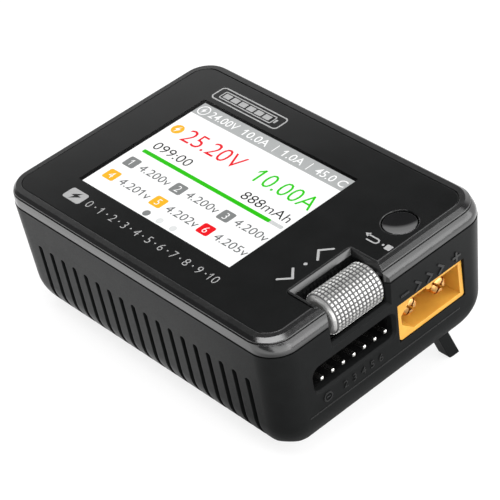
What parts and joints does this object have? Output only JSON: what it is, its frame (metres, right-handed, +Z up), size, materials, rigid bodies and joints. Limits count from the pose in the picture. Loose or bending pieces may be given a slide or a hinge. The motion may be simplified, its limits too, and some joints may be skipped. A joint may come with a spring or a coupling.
{
  "type": "battery balance charger",
  "caption": "Small box-shaped battery balance charger with a colour display on top, a knurled scroll wheel, keyed power connectors on both ends and a fold-out stand.",
  "frame": {"origin": "centre of the case's underside, between the stand's legs", "axes": "+X along the case towards the output and balance end, +Y towards the back edge, +Z up through the display"},
  "size_m": [0.0733, 0.0514, 0.0352],
  "materials": {
    "case_plastic": "fine spark-eroded texture, dark charcoal",
    "cap_plastic": "polished black",
    "panel_gloss": "clear-coated black sheet with grey printed legends",
    "display_glass": "lit colour display",
    "metal_frame": "bent sheet",
    "white_plastic": "moulded",
    "ribbon": "flexible circuit",
    "button_gloss": "polished black",
    "switch_black": "moulded",
    "knurled_metal": "square knurled, bright",
    "steel": "turned",
    "bracket_black": "moulded",
    "board_green": "solder-masked glass laminate",
    "gold": "gold plated",
    "amber_nylon": "moulded, satin",
    "pin_tin": "tin plated",
    "ferrite": "pressed powder",
    "can_aluminium": "drawn can",
    "sink_aluminium": "anodised, extruded",
    "pad_grey": "soft pad",
    "screw_black": "black oxide"
  },
  "bodies": {
    "housing": {"lower_case": "case_plastic", "upper_case": "cap_plastic", "top_panel": "panel_gloss", "lcd_panel": "display_glass", "lcd_backlight": "white_plastic", "lcd_frame": "metal_frame", "lcd_ribbon": "ribbon", "exit_switch": "switch_black", "wheel_switch": "switch_black", "main_board": "board_green", "display_board": "board_green", "board_link": "switch_black", "link_pins": "gold", "output_housing": "amber_nylon", "output_pins": "gold", "input_housing": "amber_nylon", "input_pins": "gold", "balance_housing": "switch_black", "balance_pins": "pin_tin", "usb_shell": "metal_frame", "usb_tongue": "switch_black", "signal_housing": "switch_black", "signal_pins": "gold", "power_inductor": "ferrite", "capacitors": "can_aluminium", "controller_chip": "switch_black", "shunt_resistors": "metal_frame", "buzzer": "switch_black", "power_switches": "switch_black", "thermal_pad": "pad_grey", "heat_sink": "sink_aluminium", "fan_frame": "bracket_black", "case_screws": "screw_black", "board_screws": "steel"},
    "exit_button": {"exit_button": "button_gloss"},
    "exit_plunger": {"exit_plunger": "white_plastic"},
    "wheel_carriage": {"wheel_carriage": "bracket_black", "wheel_encoder": "switch_black"},
    "wheel": {"scroll_wheel": "knurled_metal", "wheel_axle": "steel"},
    "wheel_plunger": {"wheel_plunger": "white_plastic"},
    "fan_rotor": {"fan_rotor": "bracket_black"},
    "stand": {"stand": "case_plastic"}
  },
  "joints": [
    {"name": "stand_hinge", "type": "hinge", "parent": "housing", "child": "stand", "pos_m": [0, 0.0162, 0.002], "axis": [1, 0, 0], "range_deg": [-109.5, 0]},
    {"name": "exit_press", "type": "slide", "parent": "housing", "child": "exit_button", "axis": [0, 0, 1], "range_m": [-0.0003, 0]},
    {"name": "exit_switch_press", "type": "slide", "parent": "housing", "child": "exit_plunger", "axis": [0, 0, 1], "range_m": [-0.0003, 0]},
    {"name": "wheel_press", "type": "slide", "parent": "housing", "child": "wheel_carriage", "axis": [0, 0, 1], "range_m": [-0.0003, 0]},
    {"name": "wheel_switch_press", "type": "slide", "parent": "housing", "child": "wheel_plunger", "axis": [0, 0, 1], "range_m": [-0.0003, 0]},
    {"name": "wheel_spin", "type": "hinge", "parent": "wheel_carriage", "child": "wheel", "pos_m": [0.03293, -0.00622, 0.02586], "axis": [0, 1, 0], "continuous": true},
    {"name": "fan_spin", "type": "hinge", "parent": "housing", "child": "fan_rotor", "pos_m": [0.005, -0.0006, 0.005], "axis": [0, 0, 1], "continuous": true}
  ],
  "couplings": [
    {"joint": "exit_switch_press", "follows": "exit_press", "ratio": 1},
    {"joint": "wheel_switch_press", "follows": "wheel_press", "ratio": 1}
  ]
}
